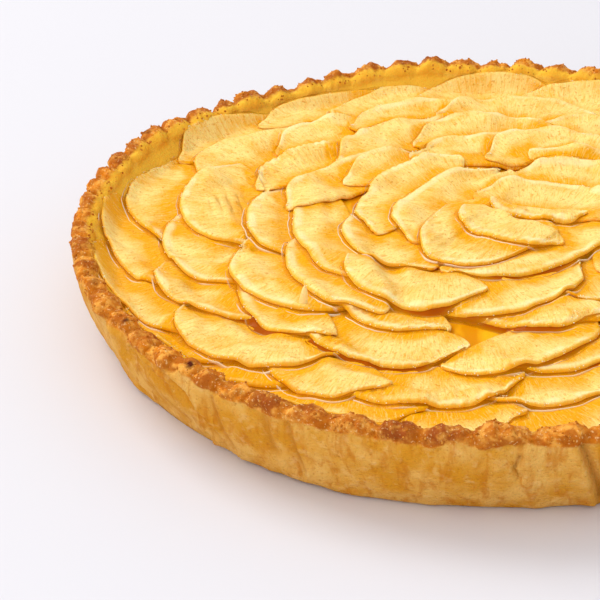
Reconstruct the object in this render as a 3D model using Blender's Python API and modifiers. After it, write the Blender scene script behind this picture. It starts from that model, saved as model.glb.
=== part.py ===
"""Apple tart: a crimped pastry case, a pale filling, and thin apple slices laid as an open rose.

Units are metres, +Z up. The origin is the centre of the underside, on the surface that the tart stands on.
Bearings are in degrees, counter-clockwise seen from above, from +X.
"""
import math
import random

import bmesh
import bpy
import numpy as np

MM = 0.001

# Pastry case: overall width over the rim, and the named points of its turned profile
RIM_RADIUS = 140.0 * MM
BASE_RADIUS = 129.0 * MM
RIM_HEIGHT = 29.3 * MM
PASTRY_THICKNESS = 4.0 * MM
FLOOR_RADIUS = 122.5 * MM
WALL_FOOT_RADIUS = 126.0 * MM
WALL_HEAD_RADIUS = 133.5 * MM
WALL_HEAD_HEIGHT = 28.0 * MM

# Crimps pressed round the rim, and three steps of the turned case to each crimp
CRIMPS = 66
STEPS_PER_CRIMP = 3
CRIMP_RISE = 1.9 * MM
CRIMP_SWELL = 0.9 * MM
CRIMP_LEAN = 0.17

# Folds in the outer wall: bearing at the foot, bearing at the rim, half width in degrees, depth
WALL_FOLDS = [
    (213.0, 207.0, 2.6, 1.3 * MM),
    (225.0, 213.0, 2.4, 1.7 * MM),
    (230.0, 218.0, 2.2, 1.5 * MM),
    (232.0, 229.0, 2.8, 1.2 * MM),
    (242.5, 239.5, 2.4, 1.6 * MM),
    (279.0, 274.5, 2.2, 2.0 * MM),
    (318.0, 309.0, 2.6, 1.4 * MM),
    (352.0, 349.0, 2.4, 1.2 * MM),
    (31.0, 25.0, 2.6, 1.5 * MM),
    (74.0, 66.0, 2.4, 1.3 * MM),
    (121.0, 117.0, 2.6, 1.4 * MM),
    (163.0, 155.0, 2.4, 1.5 * MM),
]

# Filling: its level at the wall, and the low dome that the slices lie on
FILLING_LEVEL = 19.5 * MM
DOME_RISE = 2.5 * MM
DOME_RADIUS = 105.0 * MM
FILLING_STEPS = 48

# Apple slices: thickness, the gap that keeps neighbours apart, and the mesh of one slice
SLICE_THICKNESS = 1.4 * MM
GAP = 0.3 * MM
SLICE_CORE = 5.0 * MM
SLICE_COLUMNS = 7
SLICE_ROWS = 4
SLICE_STIFFNESS = 8.0

# Every slice in the order of laying, ring by ring from the rim to the heart. In a ring each slice lies
# over the one before it. A row is the bearing and the reach in mm of the middle of the peel side, the
# turn of the slice away from that bearing in degrees, half its length and the bulge of its peel side in mm.
RING_1 = [
    (342, 130, 0, 32, 20), (327, 131, 0, 32, 20), (312, 130, 0, 32, 20), (297, 131, 0, 32, 20),
    (283, 130, 0, 32, 20), (268, 130, 0, 32, 20), (254, 130, 0, 32, 20), (240, 131, 0, 32, 20),
    (225, 128, 14.5, 31, 21), (210, 130, 0, 32, 20), (198.5, 130, 8.5, 36, 12),
    (183.5, 125.5, 15.5, 36, 12), (151.5, 127.5, -3.5, 34, 19.5), (172.5, 121, 33, 35, 32),
    (131.5, 130.5, -9.5, 36, 18.5), (112.5, 129.5, -2, 36, 13.5), (106, 127, 14, 31.5, 24),
    (85, 131, 4, 30, 18.5), (68.5, 131, 8, 29.5, 21.5), (45, 131, 0, 32, 20), (29, 131, 0, 32, 20),
    (13, 130, 0, 32, 20), (357, 131, 0, 32, 20),
]
RING_2 = [
    (343, 117, 0, 32, 20), (322, 116, 0, 32, 20), (302, 113, 0, 32, 20), (281.5, 109, 19, 28.5, 20),
    (255.5, 115.5, 10, 29.5, 21.5), (234, 118.5, -16.5, 23.5, 21.5), (224, 120, 14.5, 30, 22),
    (208, 108.5, 30, 28.5, 22.5), (185, 108.5, 10, 31, 21.5), (136, 119.5, -8.5, 35.5, 25.5),
    (169.5, 106, 20.5, 34, 26), (118, 111, -11, 27.5, 22.5), (100, 114, 2, 29.5, 21.5),
    (78, 118, 2.5, 32, 20), (55, 108, 0, 32, 20), (36, 109, 0, 32, 20), (17, 112, 0, 32, 20),
    (0, 114, 0, 32, 20),
]
RING_3 = [
    (346, 98, 0, 33, 20), (316, 97, 0, 33, 20), (288, 91, 9, 31.5, 20), (278.5, 86.5, 25, 30, 17.5),
    (241, 96.5, 3.5, 26.5, 24), (211.5, 95, -12, 29.5, 17.5), (211, 89, 16.5, 30.5, 28),
    (171.5, 82.5, 8.5, 31.5, 20), (130.5, 94, -14, 30.5, 21.5), (108, 95, 13.5, 34.5, 17.5),
    (87, 98.5, 8.5, 28.5, 23), (62, 88, 0, 32, 20), (38, 91, 0, 32, 20), (15, 94, 0, 32, 20),
]
RING_4 = [
    (345, 76, 0, 32, 20), (313, 73, 0, 32, 20), (263, 61, -23.5, 35, 19.5), (224, 73.5, -7.5, 32, 19.5),
    (205.5, 73.5, -10, 32.5, 20.5), (183.5, 65, 5, 39, 16.5), (134.5, 76, -7.5, 32, 18.5),
    (109.5, 70, -8.5, 29, 21), (83, 79.5, 4.5, 32, 21.5), (72, 85.5, 22, 24, 23.5), (40, 74, 0, 32, 20),
    (12, 75, 0, 32, 20),
]
RING_5 = [
    (330, 62, 0, 32, 20), (280.5, 55, 16, 31, 22), (236.5, 62.5, 8.5, 24, 19.5), (191, 49, 4, 26, 21.5),
    (136, 52.5, 15, 34, 19), (52, 64, 27, 32, 20), (352, 60, 0, 32, 20),
]
HEART = [
    (312, 35, -8, 37, 18.5), (127.5, 38, 17.5, 34, 20), (48.5, 45, 18.5, 27, 18.5),
    (234, 29.5, -1, 21.5, 36), (376, 16.5, -124.5, 17, 7.5), (268, 8.7, -39.5, 20.5, 13),
]
HEART_CORES = [9.0 * MM, 9.0 * MM, 9.0 * MM, 10.0 * MM, 2.5 * MM, 5.0 * MM]

COLOURS = {
    "pastry": (0.62, 0.36, 0.14),
    "filling": (0.86, 0.60, 0.20),
    "apple": (0.90, 0.66, 0.22),
}


def clear_scene():
    for item in list(bpy.data.objects):
        bpy.data.objects.remove(item, do_unlink=True)


def make_collection(name):
    collection = bpy.data.collections.new(name)
    bpy.context.scene.collection.children.link(collection)
    return collection


def make_material(name, colour, roughness):
    material = bpy.data.materials.new(name)
    material.use_nodes = True
    shader = material.node_tree.nodes["Principled BSDF"]
    shader.inputs["Base Color"].default_value = (*colour, 1.0)
    shader.inputs["Roughness"].default_value = roughness
    return material


def add_object(name, mesh, material, collection):
    item = bpy.data.objects.new(name, mesh)
    mesh.materials.clear()
    mesh.materials.append(material)
    collection.objects.link(item)
    return item


def turned_mesh(name, profile, steps):
    """Closed mesh of a profile, a list of (radius, height) from axis to axis, turned about +Z."""
    outline = bpy.data.meshes.new(name + "_profile")
    points = [(radius, 0.0, height) for radius, height in profile]
    outline.from_pydata(points, [(i, i + 1) for i in range(len(points) - 1)], [])
    guide = bpy.data.objects.new(name + "_profile", outline)
    bpy.context.scene.collection.objects.link(guide)
    screw = guide.modifiers.new("Turn", "SCREW")
    screw.axis = "Z"
    screw.angle = 2 * math.pi
    screw.steps = steps
    screw.render_steps = steps
    screw.use_merge_vertices = True
    screw.merge_threshold = 0.00001
    graph = bpy.context.evaluated_depsgraph_get()
    mesh = bpy.data.meshes.new_from_object(guide.evaluated_get(graph))
    mesh.name = name
    bpy.data.objects.remove(guide, do_unlink=True)
    return mesh


def smooth_step(value, low, high):
    share = min(max((value - low) / (high - low), 0.0), 1.0)
    return share * share * (3 - 2 * share)


def crimp_sizes():
    """Size of each crimp. They are crisp at the back and low and broad towards the front."""
    draw = random.Random(41)
    sizes = []
    for index in range(CRIMPS):
        bearing = math.radians(360.0 * index / CRIMPS)
        front = 0.5 + 0.5 * math.cos(bearing - math.radians(262.0))
        sizes.append((1.0 - 0.35 * front) * draw.uniform(0.75, 1.25))
    return sizes


def fold_depth(bearing, height):
    """How far the outer wall is pressed in at a bearing in degrees and a height."""
    depth = 0.0
    for foot, rim, half_width, full_depth in WALL_FOLDS:
        middle = foot + (rim - foot) * height / RIM_HEIGHT
        away = (bearing - middle + 180.0) % 360.0 - 180.0
        depth += full_depth * math.exp(-(away / half_width) ** 2)
    return depth


def build_case(material, collection):
    """Pastry case: floor, leaning wall and crimped rim in one turned shell, with pleats pressed in its wall."""
    profile = [
        (0.0, PASTRY_THICKNESS),
        (FLOOR_RADIUS, PASTRY_THICKNESS),
        (WALL_FOOT_RADIUS, FILLING_LEVEL),
        (WALL_HEAD_RADIUS, WALL_HEAD_HEIGHT),
        (136.3 * MM, RIM_HEIGHT + 0.4 * MM),
        (RIM_RADIUS - 0.8 * MM, RIM_HEIGHT - 1.2 * MM),
        (139.0 * MM, 24.0 * MM),
        (136.3 * MM, 13.0 * MM),
        (131.8 * MM, 2.6 * MM),
        (BASE_RADIUS, 0.0),
        (0.0, 0.0),
    ]
    mesh = turned_mesh("pastry_case", profile, CRIMPS * STEPS_PER_CRIMP)
    sizes = crimp_sizes()
    rim_start = WALL_HEAD_HEIGHT - 1.0 * MM
    for vertex in mesh.vertices:
        x, y, z = vertex.co
        radius = math.hypot(x, y)
        if radius < BASE_RADIUS + 1.0 * MM:
            continue
        bearing = math.degrees(math.atan2(y, x)) % 360.0
        place = bearing / 360.0 * CRIMPS
        size = sizes[int(place + 0.001) % CRIMPS]
        side = smooth_step(radius, WALL_HEAD_RADIUS, RIM_RADIUS)
        wave = math.cos(2 * math.pi * (place - 1.0 / 3.0 - CRIMP_LEAN * (2 * side - 1)))
        at_rim = smooth_step(z, 22.0 * MM, rim_start) * smooth_step(radius, WALL_HEAD_RADIUS, 136.0 * MM)
        outer = smooth_step(radius, 137.0 * MM, 139.0 * MM)
        z += CRIMP_RISE * size * wave * at_rim
        grow = CRIMP_SWELL * size * wave * at_rim * outer
        on_wall = smooth_step(z, 0.5 * MM, 6.0 * MM) * (1.0 - smooth_step(z, 23.0 * MM, 27.0 * MM))
        if radius > BASE_RADIUS:
            grow -= fold_depth(bearing, z) * on_wall
        vertex.co = (x * (1 + grow / radius), y * (1 + grow / radius), z)
    return add_object("pastry_case", mesh, material, collection)


def filling_height(radius):
    return FILLING_LEVEL + DOME_RISE * max(0.0, 1.0 - (radius / DOME_RADIUS) ** 2) ** 1.5


def build_filling(material, collection):
    """Filling: one solid from the pastry floor up to the low dome that carries the slices."""
    clear = 0.35 * MM
    top = [(radius * MM, filling_height(radius * MM)) for radius in (0.0, 25.0, 50.0, 75.0, 100.0)]
    top.append((WALL_FOOT_RADIUS - 0.6 * MM, FILLING_LEVEL))
    bottom = PASTRY_THICKNESS + clear
    profile = top + [(FLOOR_RADIUS - 0.5 * MM, bottom), (0.0, bottom)]
    mesh = turned_mesh("filling", profile, FILLING_STEPS)
    return add_object("filling", mesh, material, collection)


class Slice:
    """One half-moon slice on its own grid: columns along it, rows from the core side to the peel side."""

    def __init__(self, row, core):
        bearing, reach, turn, half, bulge = row
        middle = math.radians(bearing)
        facing = math.radians(bearing + turn)
        self.out = np.array([math.cos(facing), math.sin(facing)])
        self.along = np.array([-math.sin(facing), math.cos(facing)])
        self.half, self.bulge, self.core = half * MM, bulge * MM, core
        peel = reach * MM * np.array([math.cos(middle), math.sin(middle)])
        self.origin = peel - self.bulge * self.out
        self.x = self.half * np.sin(np.linspace(-math.pi / 2, math.pi / 2, SLICE_COLUMNS))
        self.low, self.high = self.edges(self.x)
        share = np.linspace(0.0, 1.0, SLICE_ROWS)
        across = self.low[:, None] + (self.high - self.low)[:, None] * share
        self.grid = self.origin + self.x[:, None, None] * self.along + across[..., None] * self.out
        # The columns at both tips are one point each
        number = np.arange(SLICE_COLUMNS * SLICE_ROWS).reshape(SLICE_COLUMNS, SLICE_ROWS)
        number[0, :] = number[0, 0]
        number[-1, :] = number[-1, 0]
        used, flat = np.unique(number, return_inverse=True)
        self.number = flat.reshape(SLICE_COLUMNS, SLICE_ROWS)
        self.points = np.zeros((len(used), 2))
        self.points[self.number.ravel()] = self.grid.reshape(-1, 2)
        self.z = None
        self.lines = self.grid_lines()

    def edges(self, x):
        """Core side and peel side of the half-moon at places along it."""
        share = np.clip(np.abs(x) / self.half, 0.0, 1.0)
        return -self.core * (1 - share ** 4) ** 0.5, self.bulge * (1 - share ** 2.3) ** 0.55

    def grid_lines(self):
        """Points along every line of the grid, its diagonals included."""
        number = self.number
        pairs = [(number[:-1, :], number[1:, :]), (number[:, :-1], number[:, 1:]), (number[:-1, :-1], number[1:, 1:])]
        points = [self.points]
        for starts, stops in pairs:
            for start, stop in zip(starts.ravel(), stops.ravel()):
                first, last = self.points[start], self.points[stop]
                count = int(np.linalg.norm(last - first) / (0.8 * MM))
                if count > 0:
                    share = (np.arange(count) + 0.5) / count
                    points.append(first + share[:, None] * (last - first))
        return np.concatenate(points)

    def locate(self, places, slack):
        """Whether each place lies on the slice, and the corners and weights of its triangle there."""
        offset = places - self.origin
        x, y = offset @ self.along, offset @ self.out
        i = np.clip(np.searchsorted(self.x, x) - 1, 0, SLICE_COLUMNS - 2)
        t = np.clip((x - self.x[i]) / (self.x[i + 1] - self.x[i]), 0.0, 1.0)
        low = self.low[i] + t * (self.low[i + 1] - self.low[i])
        high = self.high[i] + t * (self.high[i + 1] - self.high[i])
        inside = (np.abs(x) < self.half + slack) & (y > low - slack) & (y < high + slack)
        v = (y - low) / np.maximum(high - low, 1e-9) * (SLICE_ROWS - 1)
        k = np.clip(v.astype(int), 0, SLICE_ROWS - 2)
        step_near = (self.high[i] - self.low[i]) / (SLICE_ROWS - 1)
        step_far = (self.high[i + 1] - self.low[i + 1]) / (SLICE_ROWS - 1)
        base = self.low[i] + k * step_near
        base_far = self.low[i + 1] + k * step_far
        edge = base + t * (base_far - base)
        diagonal = base + t * (base_far + step_far - base)
        lower = y <= diagonal
        far = np.clip((y - edge) / np.maximum(step_far, 1e-9), 0.0, t)
        near = np.clip((y - diagonal) / np.maximum(step_near, 1e-9), 0.0, 1.0 - t)
        corner_a, corner_b = self.number[i, k], self.number[i + 1, k]
        corner_c, corner_d = self.number[i + 1, k + 1], self.number[i, k + 1]
        under = np.stack([corner_a, corner_b, corner_c], 1)
        over = np.stack([corner_a, corner_d, corner_c], 1)
        corners = np.where(lower[:, None], under, over)
        under = np.stack([1 - t, t - far, far], 1)
        over = np.stack([1 - t - near, near, t], 1)
        return inside, corners, np.where(lower[:, None], under, over)

    def bending(self):
        """Rows whose squares add up to the bending energy of the slice, in mm."""
        number, x = self.number, self.x / MM
        width = (self.high - self.low) / MM
        rows = []
        for j in range(SLICE_ROWS):
            for i in range(1, SLICE_COLUMNS - 1):
                before, after = x[i] - x[i - 1], x[i + 1] - x[i]
                row = np.zeros(len(self.points))
                mean = (before + after) / 2
                row[number[i - 1, j]] += 1 / (mean * before)
                row[number[i + 1, j]] += 1 / (mean * after)
                row[number[i, j]] -= 1 / (mean * before) + 1 / (mean * after)
                rows.append(row * math.sqrt(mean * width[i] / SLICE_ROWS))
        for i in range(1, SLICE_COLUMNS - 1):
            step = width[i] / (SLICE_ROWS - 1)
            for j in range(1, SLICE_ROWS - 1):
                row = np.zeros(len(self.points))
                row[number[i, j - 1]] = row[number[i, j + 1]] = 1 / step ** 2
                row[number[i, j]] = -2 / step ** 2
                rows.append(row * math.sqrt(step * (x[i + 1] - x[i - 1]) / 2))
        for i in range(SLICE_COLUMNS - 1):
            for j in range(SLICE_ROWS - 1):
                cell = (x[i + 1] - x[i]) * (width[i] + width[i + 1]) / 2 / (SLICE_ROWS - 1)
                row = np.zeros(len(self.points))
                row[number[i, j]] += 1
                row[number[i + 1, j + 1]] += 1
                row[number[i + 1, j]] -= 1
                row[number[i, j + 1]] -= 1
                rows.append(row * math.sqrt(2 / cell))
        return np.array(rows)


def bed_height(places):
    """Height of the filling, and past its edge of the leaning inner wall."""
    radius = np.hypot(places[:, 0], places[:, 1])
    dome = FILLING_LEVEL + DOME_RISE * np.clip(1 - (radius / DOME_RADIUS) ** 2, 0, 1) ** 1.5
    rise = (WALL_HEAD_HEIGHT - FILLING_LEVEL) / (WALL_HEAD_RADIUS - WALL_FOOT_RADIUS)
    wall = FILLING_LEVEL + (radius - WALL_FOOT_RADIUS) * rise
    return np.where(radius > WALL_FOOT_RADIUS, wall, dome)


def settle(piece, laid):
    """Let the piece sag until it rests on what lies below it, a gap clear, bending as little as it can."""
    near = [other for other in laid if np.linalg.norm(other.origin - piece.origin) < piece.half + other.half]
    places = [piece.lines]
    for other in near:
        places.append(other.lines[piece.locate(other.lines, 0.0)[0]])
    places = np.concatenate(places)
    need = bed_height(places) + GAP + SLICE_THICKNESS / 2
    for other in near:
        inside, corners, weights = other.locate(places, 0.15 * MM)
        under = (other.z[corners] * weights).sum(1) + SLICE_THICKNESS + GAP
        need = np.where(inside, np.maximum(need, under), need)
    need = need / MM
    count = len(piece.points)
    corners, weights = piece.locate(places, MM)[1:]
    shape = np.zeros((len(places), count))
    for corner in range(3):
        np.add.at(shape, (np.arange(len(places)), corners[:, corner]), weights[:, corner])
    bending = piece.bending()
    stiff = SLICE_STIFFNESS * bending.T @ bending + 1e-4 * np.eye(count)
    weight = np.full(count, 100.0 / count)
    push = 6.0
    z = np.full(count, need.max())
    for _ in range(80):
        short = need - shape @ z
        touching = short > 0
        contact = shape[touching]
        slope = weight + stiff @ z - push * contact.T @ short[touching]
        move = np.linalg.solve(stiff + push * contact.T @ contact, slope)
        largest = np.abs(move).max()
        z = z - move * min(1.0, 4.0 / largest)
        if largest < 1e-4:
            break
    z = z + max(0.0, (need - shape @ z).max())
    piece.z = z * MM


def lay_slices():
    """All slices by ring, each settled on the ones laid before it."""
    rings = []
    laid = []
    for ring in (RING_1, RING_2, RING_3, RING_4, RING_5, HEART):
        cores = HEART_CORES if ring is HEART else [SLICE_CORE] * len(ring)
        pieces = []
        for row, core in zip(ring, cores):
            piece = Slice(row, core)
            settle(piece, laid)
            laid.append(piece)
            pieces.append(piece)
        rings.append(pieces)
    return rings


def slice_mesh(name, piece, bottom):
    """Closed mesh of a slice: its grid as the underside, drawn up to the settled upper face.

    bottom holds the height of the underside at each point of the grid.
    """
    mesh = bpy.data.meshes.new(name)
    work = bmesh.new()
    bmesh.ops.create_grid(work, x_segments=SLICE_COLUMNS - 1, y_segments=SLICE_ROWS - 1, size=1.0)
    work.verts.ensure_lookup_table()
    top = work.verts.layers.float.new("top")
    for row in range(SLICE_ROWS):
        for column in range(SLICE_COLUMNS):
            vertex = work.verts[row * SLICE_COLUMNS + column]
            place = piece.grid[column, row]
            number = piece.number[column, row]
            vertex.co = (place[0], place[1], bottom[number])
            vertex[top] = piece.z[number] + SLICE_THICKNESS / 2
    bmesh.ops.triangulate(work, faces=work.faces[:], quad_method="FIXED")
    bmesh.ops.remove_doubles(work, verts=work.verts[:], dist=0.000001)
    drawn = bmesh.ops.extrude_face_region(work, geom=work.faces[:])
    for vertex in drawn["geom"]:
        if isinstance(vertex, bmesh.types.BMVert):
            vertex.co.z = vertex[top]
    bmesh.ops.recalc_face_normals(work, faces=work.faces[:])
    work.to_mesh(mesh)
    work.free()
    return mesh


def build_outer_ring(pieces, material, collection):
    """Outermost ring: its overlapping slices joined to one solid that fills down to the filling."""
    workshop = make_collection("outer_ring_slices")
    items = []
    for index, piece in enumerate(pieces):
        # Each underside lies a hair lower than the next, so that no two faces of the union coincide
        clear = GAP + 0.002 * MM * index
        mesh = slice_mesh(f"outer_slice_{index:02d}", piece, bed_height(piece.points) + clear)
        items.append(add_object(mesh.name, mesh, material, collection if index == 0 else workshop))
    ring = items[0]
    union = ring.modifiers.new("Join", "BOOLEAN")
    union.operation = "UNION"
    union.operand_type = "COLLECTION"
    union.collection = workshop
    union.solver = "MANIFOLD"
    graph = bpy.context.evaluated_depsgraph_get()
    joined = bpy.data.meshes.new_from_object(ring.evaluated_get(graph))
    joined.name = "apple_outer_ring"
    for item in items:
        bpy.data.objects.remove(item, do_unlink=True)
    bpy.data.collections.remove(workshop)
    return add_object("apple_outer_ring", joined, material, collection)


def build_tart():
    clear_scene()
    tart = make_collection("apple_tart")
    pastry = make_material("pastry", COLOURS["pastry"], 0.75)
    build_case(pastry, tart)
    build_filling(make_material("filling", COLOURS["filling"], 0.35), tart)
    rings = lay_slices()
    build_outer_ring(rings[0], make_material("apple_outer_ring", COLOURS["apple"], 0.35), tart)
    for number, pieces in enumerate(rings[1:], 2):
        for index, piece in enumerate(pieces, 1):
            name = f"apple_{number}_{index:02d}"
            mesh = slice_mesh(name, piece, piece.z - SLICE_THICKNESS / 2)
            add_object(name, mesh, make_material(name, COLOURS["apple"], 0.35), tart)


build_tart()
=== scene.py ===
"""Apple tart: a crimped pastry case, a pale filling and glazed apple slices laid as an open rose.

Lengths are in millimetres until a mesh is made. Bearings are in degrees, counter-clockwise seen from
above, from +X. The origin is the centre of the tart's underside, on the floor that it stands on.
"""
import math

import bpy
import numpy as np
from mathutils import Matrix


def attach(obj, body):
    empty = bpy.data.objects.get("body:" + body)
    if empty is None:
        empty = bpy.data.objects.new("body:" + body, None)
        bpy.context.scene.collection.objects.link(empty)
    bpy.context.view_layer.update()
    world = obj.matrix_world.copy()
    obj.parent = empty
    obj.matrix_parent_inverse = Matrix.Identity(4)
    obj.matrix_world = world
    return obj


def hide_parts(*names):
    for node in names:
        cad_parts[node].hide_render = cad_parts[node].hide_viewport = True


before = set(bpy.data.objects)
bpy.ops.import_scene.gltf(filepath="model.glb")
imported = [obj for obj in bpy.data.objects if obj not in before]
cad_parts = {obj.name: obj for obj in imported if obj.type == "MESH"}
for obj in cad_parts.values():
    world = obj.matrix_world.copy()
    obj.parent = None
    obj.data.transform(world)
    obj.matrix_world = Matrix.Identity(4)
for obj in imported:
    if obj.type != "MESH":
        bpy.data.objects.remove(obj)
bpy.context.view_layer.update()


# Pastry case
# A shortcrust shell baked in a ring: thin floor, wall that leans out, and a rim pressed into crimps.
# The wall stays pale gold with orange patches and pleats, the crimps bake to a rough orange brown.

BASE_RADIUS = 129.3
RIM_RADIUS = 138.4
CREST_HEIGHT = 28.4
FILLING_LEVEL = 19.5
WALL_FOOT = (126.0, 19.5)
WALL_HEAD = (133.5, 28.0)

CASE_COLUMNS = 1320
WALL_SPACING = 1.2
RIM_SPACING = 0.66
SPARE_PITCH = 5.45
CRIMP_LEAN = 1.3
GROOVE_DEPTH = 2.8
BORDER_HEIGHT = 25.0
CRUMBS = 1100
CRUMB_SIZES = (0.25, 0.62)

# Bearings of the stretch of rim that is pressed flatter, of the one whose inner side is browned like the
# crust as painted shade, of the darkest one, and of the one at the back whose inner side is lightened to a
# clear yellow as painted light
FLAT_BEARING = 250
SHADED_INSIDE_BEARING = 255
DARKEST_BEARING = 258
LIT_INSIDE_BEARING = 115

# Crimps from the back over the left side to the front: bearing and height of the top of each. The right
# side is crimped to the same pitch
CRIMPS = [
    (67.2, 30.4), (73.0, 30.5), (78.0, 31.2), (83.5, 30.3), (88.5, 30.6), (93.8, 32.3), (98.8, 31.7),
    (104.8, 31.1), (110.0, 30.2), (115.8, 28.8), (120.5, 28.4), (127.0, 29.8), (132.5, 29.7), (137.2, 30.3),
    (143.2, 31.1), (148.8, 32.2), (154.2, 32.3), (159.2, 31.7), (163.6, 31.2), (168.0, 31.4), (172.6, 31.0),
    (177.5, 30.6), (182.6, 31.2), (187.6, 30.9), (192.8, 30.4), (198.3, 30.8), (204.4, 31.0), (210.1, 30.8),
    (215.3, 30.0), (220.2, 29.8), (224.6, 31.2), (228.0, 30.2), (232.1, 29.6), (237.3, 30.0), (242.2, 29.4),
    (248.8, 30.4), (254.2, 29.8), (259.1, 30.4), (265.9, 31.0), (273.3, 30.6),
]

# Folds of the outer wall: the line of each as (bearing, height) points, half width, depth, and the step
# by which the wall stands prouder after the fold than before it
FOLDS = [
    ([(207.5, 24.0), (208.5, 19.6), (212.3, 8.6), (213.5, 4.0)], 0.8, 0.9, 0.6),
    ([(210.0, 15.0), (211.0, 8.0)], 0.7, 0.6, 0.3),
    ([(214.5, 25.3), (221.2, 20.1), (225.6, 9.0), (226.4, 5.0)], 0.9, 1.2, 0.9),
    ([(219.1, 27.0), (225.1, 20.7), (228.6, 10.6), (229.4, 6.0)], 0.9, 1.1, 0.8),
    ([(229.7, 24.0), (231.2, 6.8)], 1.6, 0.6, 0.7),
    ([(237.5, 25.7), (238.2, 12.6)], 1.8, 0.5, 0.4),
    ([(240.6, 25.7), (241.4, 16.0), (242.0, 8.4)], 1.1, 0.9, 0.6),
    ([(268.2, 23.0), (267.6, 19.0), (268.3, 15.0)], 0.5, 0.9, 0.1),
    ([(274.7, 29.4), (276.2, 20.0), (278.4, 6.0), (279.1, 0.0)], 1.1, 1.8, -0.9),
    ([(281.5, 24.0), (282.6, 12.0)], 1.5, 0.8, 0.4),
    ([(309.0, 26.0), (318.0, 7.0)], 1.1, 1.0, 0.6),
    ([(349.0, 25.0), (352.5, 6.0)], 1.2, 0.9, 0.5),
    ([(25.0, 26.0), (31.0, 6.0)], 1.1, 1.1, 0.6),
    ([(66.0, 25.0), (74.0, 8.0)], 1.0, 0.9, 0.6),
    ([(117.0, 25.0), (121.0, 6.0)], 1.2, 0.9, 0.6),
    ([(155.0, 24.0), (163.0, 7.0)], 1.0, 1.0, 0.6),
    ([(186.0, 25.0), (191.0, 7.0)], 1.0, 0.8, 0.5),
]

# Scorched spots of the rim: bearing, distance from the centre, size and strength
SCORCHED = [
    (225.2, 136.6, 1.25, 1.0), (211.2, 136.4, 1.2, 0.9), (199.6, 136.2, 1.6, 0.45), (197.2, 136.0, 1.4, 0.4),
    (233.4, 137.0, 1.6, 0.35), (320.0, 136.8, 1.4, 0.6), (41.0, 136.8, 1.4, 0.5), (95.0, 136.8, 1.4, 0.5),
    (150.0, 136.8, 1.4, 0.5),
]

# Where the wall leaves the round: bearing and width in degrees, push outwards, and the heights over which
# the push comes in and dies out
WALL_SHIFTS = [
    (207, 17, -1.6, (1, 7), (19, 26)), (246, 15, 1.5, (-2, -1), (2, 14)), (220, 8, -1.1, (-2, -1), (8, 18)),
]

LATTICE = np.random.default_rng(7).uniform(-1, 1, (48, 48, 48))


def grain(places, size, layer=0):
    """Smooth random field from -1 to 1, with lumps about as large as size."""
    at = places / size + layer * 11.7
    cell = np.floor(at).astype(int)
    part = at - cell
    part = part * part * (3 - 2 * part)
    total = np.zeros(len(places))
    for corner in np.ndindex(2, 2, 2):
        weight = np.prod(np.where(corner, part, 1 - part), axis=1)
        i, j, k = ((cell + corner) % len(LATTICE)).T
        total += weight * LATTICE[i, j, k]
    return total


def ease(value, low, high):
    share = np.clip((value - low) / (high - low), 0, 1)
    return share * share * (3 - 2 * share)


def bell(value, middle, width):
    return np.exp(-((value - middle) / width) ** 2)


def run_along(points):
    """Distance of every point from the first one, along the line through them."""
    return np.concatenate([[0], np.cumsum(np.linalg.norm(np.diff(points, axis=0), axis=1))])


def points_at(stops, run, points):
    return np.stack([np.interp(stops, run, points[:, axis]) for axis in (0, 1)], 1)


def curve_weights(count, at):
    """Rows that blend count even samples smoothly at fractional sample numbers."""
    first = np.clip(np.floor(at).astype(int), 0, count - 2)
    t = at - first
    rows = np.zeros((len(at), count))
    line = np.arange(len(at))
    blend = [-t / 2 + t ** 2 - t ** 3 / 2, 1 - 2.5 * t ** 2 + 1.5 * t ** 3,
             t / 2 + 2 * t ** 2 - 1.5 * t ** 3, -t ** 2 / 2 + t ** 3 / 2]
    for step, share in zip((-1, 0, 1, 2), blend):
        np.add.at(rows, (line, np.clip(first + step, 0, count - 1)), share)
    return rows


def smooth_path(points, spacing):
    """Points along a smooth curve through the given points, evenly spaced."""
    points = np.array(points, float)
    fine = curve_weights(len(points), np.linspace(0, len(points) - 1, 60 * len(points))) @ points
    run = run_along(fine)
    return points_at(np.linspace(0, run[-1], int(run[-1] / spacing) + 1), run, fine)


def add_object(name, data):
    made = bpy.data.objects.new(name, data)
    bpy.context.scene.collection.objects.link(made)
    return made


def add_piece(name, points, faces, material, replaced=()):
    """Smooth-shaded mesh object from points in mm, riding on the tart."""
    mesh = bpy.data.meshes.new(name)
    mesh.from_pydata((np.asarray(points) * 0.001).tolist(), [], faces)
    mesh.polygons.foreach_set("use_smooth", [True] * len(mesh.polygons))
    mesh.update()
    mesh.materials.append(material)
    piece = add_object(name, mesh)
    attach(piece, "root")
    if replaced:
        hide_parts(*replaced)
    return piece


def paint(piece, name, values):
    """One value for each point of the piece, for its material to read."""
    layer = piece.data.attributes.new(name, "FLOAT", "POINT")
    layer.data.foreach_set("value", np.asarray(values, np.float32))


def sheet_faces(grid, flipped=False):
    """Faces of a sheet of points numbered in rows and columns. Corners that fall together are merged."""
    faces = []
    for row, after in zip(grid, grid[1:]):
        for a, b, c, d in zip(row, after, after[1:], row[1:]):
            corners = tuple(dict.fromkeys((a, b, c, d)))
            if len(corners) > 2:
                faces.append(corners[::-1] if flipped else corners)
    return faces


def turned_faces(rings, columns):
    """Outward faces of a body of rings, closed by one point before the first ring and one after the last."""
    last = rings * columns + 1
    grid = np.concatenate([[0] * columns, np.arange(1, last), [last] * columns]).reshape(-1, columns)
    return sheet_faces(np.concatenate([grid, grid[:, :1]], 1).T.tolist())


def around(radius, angle, height):
    return np.stack([radius * np.cos(angle), radius * np.sin(angle), height], 1)


def ball(upper, lower, bottom):
    """Twelve points of a small ball: top, bottom, and two rings of five given as (reach, height)."""
    points = [(0, 0, 1), (0, 0, bottom)]
    for (reach, height), turn in ((upper, 0), (lower, 36)):
        for angle in np.radians(np.arange(0, 360, 72) + turn):
            points.append((reach * math.cos(angle), reach * math.sin(angle), height))
    return np.array(points)


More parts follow.
